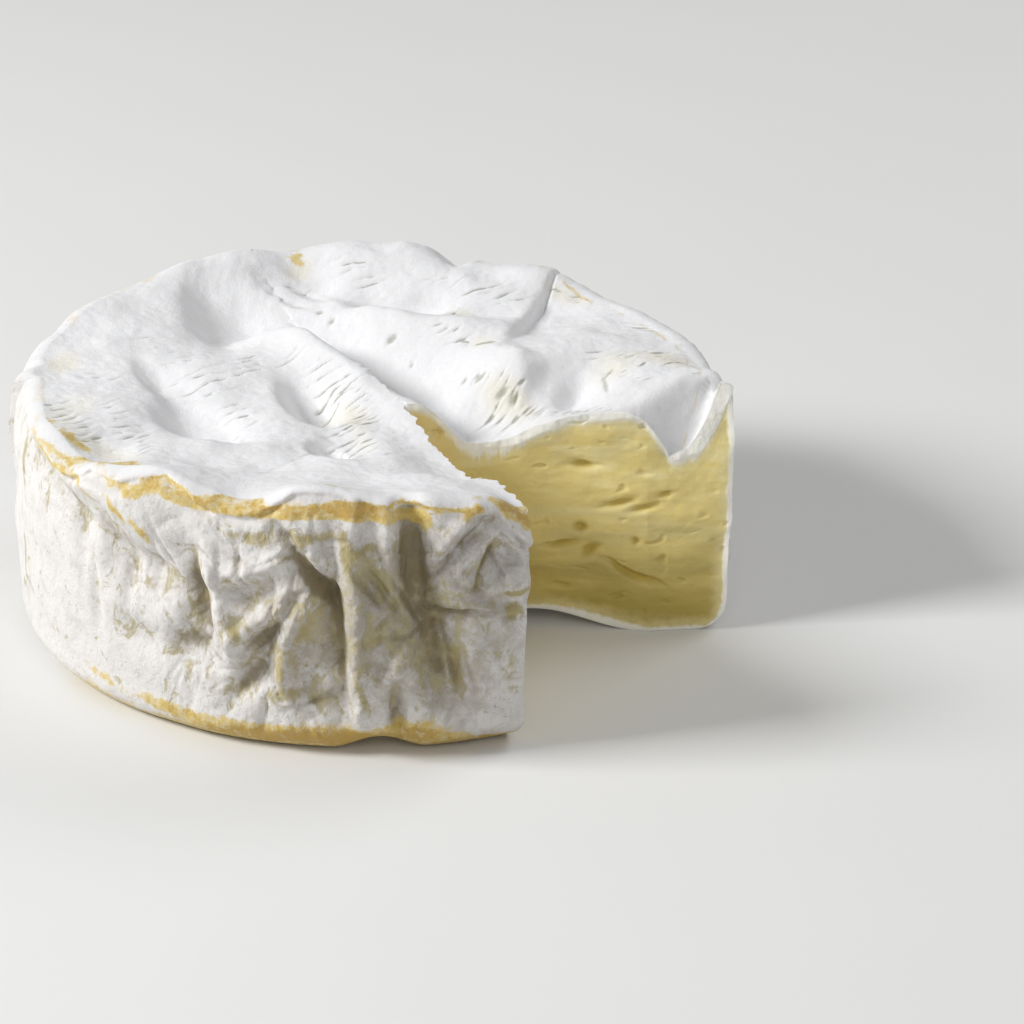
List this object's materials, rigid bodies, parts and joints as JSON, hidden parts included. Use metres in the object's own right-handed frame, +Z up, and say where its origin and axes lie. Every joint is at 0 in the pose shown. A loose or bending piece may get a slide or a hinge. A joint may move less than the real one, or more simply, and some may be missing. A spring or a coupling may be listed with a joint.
{
  "type": "camembert cheese",
  "caption": "soft white-rind cheese, a low wheel with one wedge cut out, lying flat on its base",
  "frame": {"origin": "on the ground plane under the wheel, on the wheel's own upright axis, a little behind the point where the two cuts meet", "axes": "+Z is up, out of the top of the wheel; the notch opens to +X and -Y, between 297 and 356 degrees round +Z from +X; one cut face looks to -Y and the other to +X"},
  "size_m": [0.1093, 0.1112, 0.0409],
  "materials": {
    "rind": "dull, soft and velvety white mould rind"
  },
  "bodies": {
    "root": {"cheese": "rind"}
  },
  "joints": []
}
